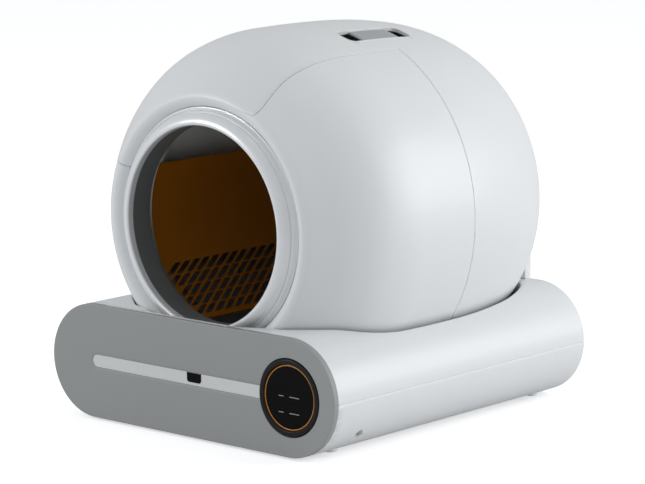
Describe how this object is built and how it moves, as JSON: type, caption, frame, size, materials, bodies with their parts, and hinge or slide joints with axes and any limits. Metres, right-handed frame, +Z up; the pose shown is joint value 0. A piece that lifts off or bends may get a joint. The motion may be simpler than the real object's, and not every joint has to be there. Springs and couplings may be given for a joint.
{
  "type": "self cleaning litter box",
  "caption": "Self cleaning litter box: stadium base with a front waste drawer, lift-off globe with a round entry, and a sifting drum turned by a gear.",
  "frame": {"origin": "on the ground under the middle of the box, at the bottoms of the feet", "axes": "+Z up, front with the entry and drawer towards -Y, control disc towards +X; the drum's axis runs along Y"},
  "size_m": [0.48, 0.5, 0.5],
  "materials": {
    "white_plastic": "satin white moulding",
    "silver_plastic": "silver paint on plastic",
    "panel_grey": "fine matte grey",
    "stripe_grey": "light grey inlay",
    "grip_grey": "matte grey",
    "dark_plastic": "dark grey, fine grain",
    "amber_plastic": "translucent amber brown",
    "light_ring": "amber light guide",
    "gloss_black": "gloss black",
    "board_green": "circuit board",
    "rubber": "soft black rubber",
    "nylon": "natural nylon",
    "steel": "zinc plated"
  },
  "bodies": {
    "base": {"base_lower_shell": "white_plastic", "base_upper_deck": "white_plastic", "drum_cradle": "dark_plastic", "foot_front_left": "rubber", "foot_front_right": "rubber", "foot_rear_left": "rubber", "foot_rear_right": "rubber", "rear_column": "white_plastic", "rear_cover": "white_plastic", "main_board": "board_green", "power_socket": "dark_plastic", "gearmotor": "steel", "motor_bracket": "dark_plastic", "control_bezel": "gloss_black", "control_light_ring": "light_ring", "control_glass": "gloss_black", "control_board": "board_green", "control_bracket": "dark_plastic", "roller_bracket_front_left": "nylon", "roller_bracket_front_right": "nylon", "roller_bracket_rear_left": "nylon", "roller_bracket_rear_right": "nylon"},
    "drawer": {"drawer_front": "panel_grey", "front_stripe": "stripe_grey", "sensor_window": "gloss_black", "drawer_tray": "panel_grey", "waste_bin": "dark_plastic", "bag_ring": "white_plastic"},
    "cover": {"globe_front_shell": "white_plastic", "globe_top_rear_shell": "white_plastic", "entry_ring": "silver_plastic", "entry_collar": "dark_plastic", "grip_frame": "white_plastic", "grip_plate": "grip_grey"},
    "drum": {"drum_front_shell": "dark_plastic", "drum_rear_shell": "dark_plastic", "drum_sifter": "amber_plastic", "port_frame": "amber_plastic", "ring_gear": "nylon"},
    "pinion": {"drive_pinion": "nylon"},
    "front_left_roller": {"roller_front_left": "rubber"},
    "front_right_roller": {"roller_front_right": "rubber"},
    "rear_left_roller": {"roller_rear_left": "rubber"},
    "rear_right_roller": {"roller_rear_right": "rubber"}
  },
  "joints": [
    {"name": "drawer_slide", "type": "slide", "parent": "base", "child": "drawer", "axis": [0, -1, 0], "range_m": [0, 0.3]},
    {"name": "cover_lift", "type": "slide", "parent": "base", "child": "cover", "axis": [0, 0, 1], "range_m": [0, 0.33]},
    {"name": "drum_spin", "type": "hinge", "parent": "base", "child": "drum", "pos_m": [0, 0, 0.264], "axis": [0, 1, 0], "continuous": true},
    {"name": "pinion_spin", "type": "hinge", "parent": "base", "child": "pinion", "pos_m": [0, 0.1743, 0.0961], "axis": [0, 1, 0], "continuous": true},
    {"name": "roller_spin_front_left", "type": "hinge", "parent": "base", "child": "front_left_roller", "pos_m": [-0.12437, -0.154, 0.1521], "axis": [0, 1, 0], "continuous": true},
    {"name": "roller_spin_front_right", "type": "hinge", "parent": "base", "child": "front_right_roller", "pos_m": [0.12437, -0.154, 0.1521], "axis": [0, 1, 0], "continuous": true},
    {"name": "roller_spin_rear_left", "type": "hinge", "parent": "base", "child": "rear_left_roller", "pos_m": [-0.12437, 0.156, 0.1521], "axis": [0, 1, 0], "continuous": true},
    {"name": "roller_spin_rear_right", "type": "hinge", "parent": "base", "child": "rear_right_roller", "pos_m": [0.12437, 0.156, 0.1521], "axis": [0, 1, 0], "continuous": true}
  ],
  "couplings": [
    {"joint": "pinion_spin", "follows": "drum_spin", "ratio": -6.4444},
    {"joint": "roller_spin_front_left", "follows": "drum_spin", "ratio": -12.917},
    {"joint": "roller_spin_front_right", "follows": "drum_spin", "ratio": -12.917},
    {"joint": "roller_spin_rear_left", "follows": "drum_spin", "ratio": -12.917},
    {"joint": "roller_spin_rear_right", "follows": "drum_spin", "ratio": -12.917}
  ]
}
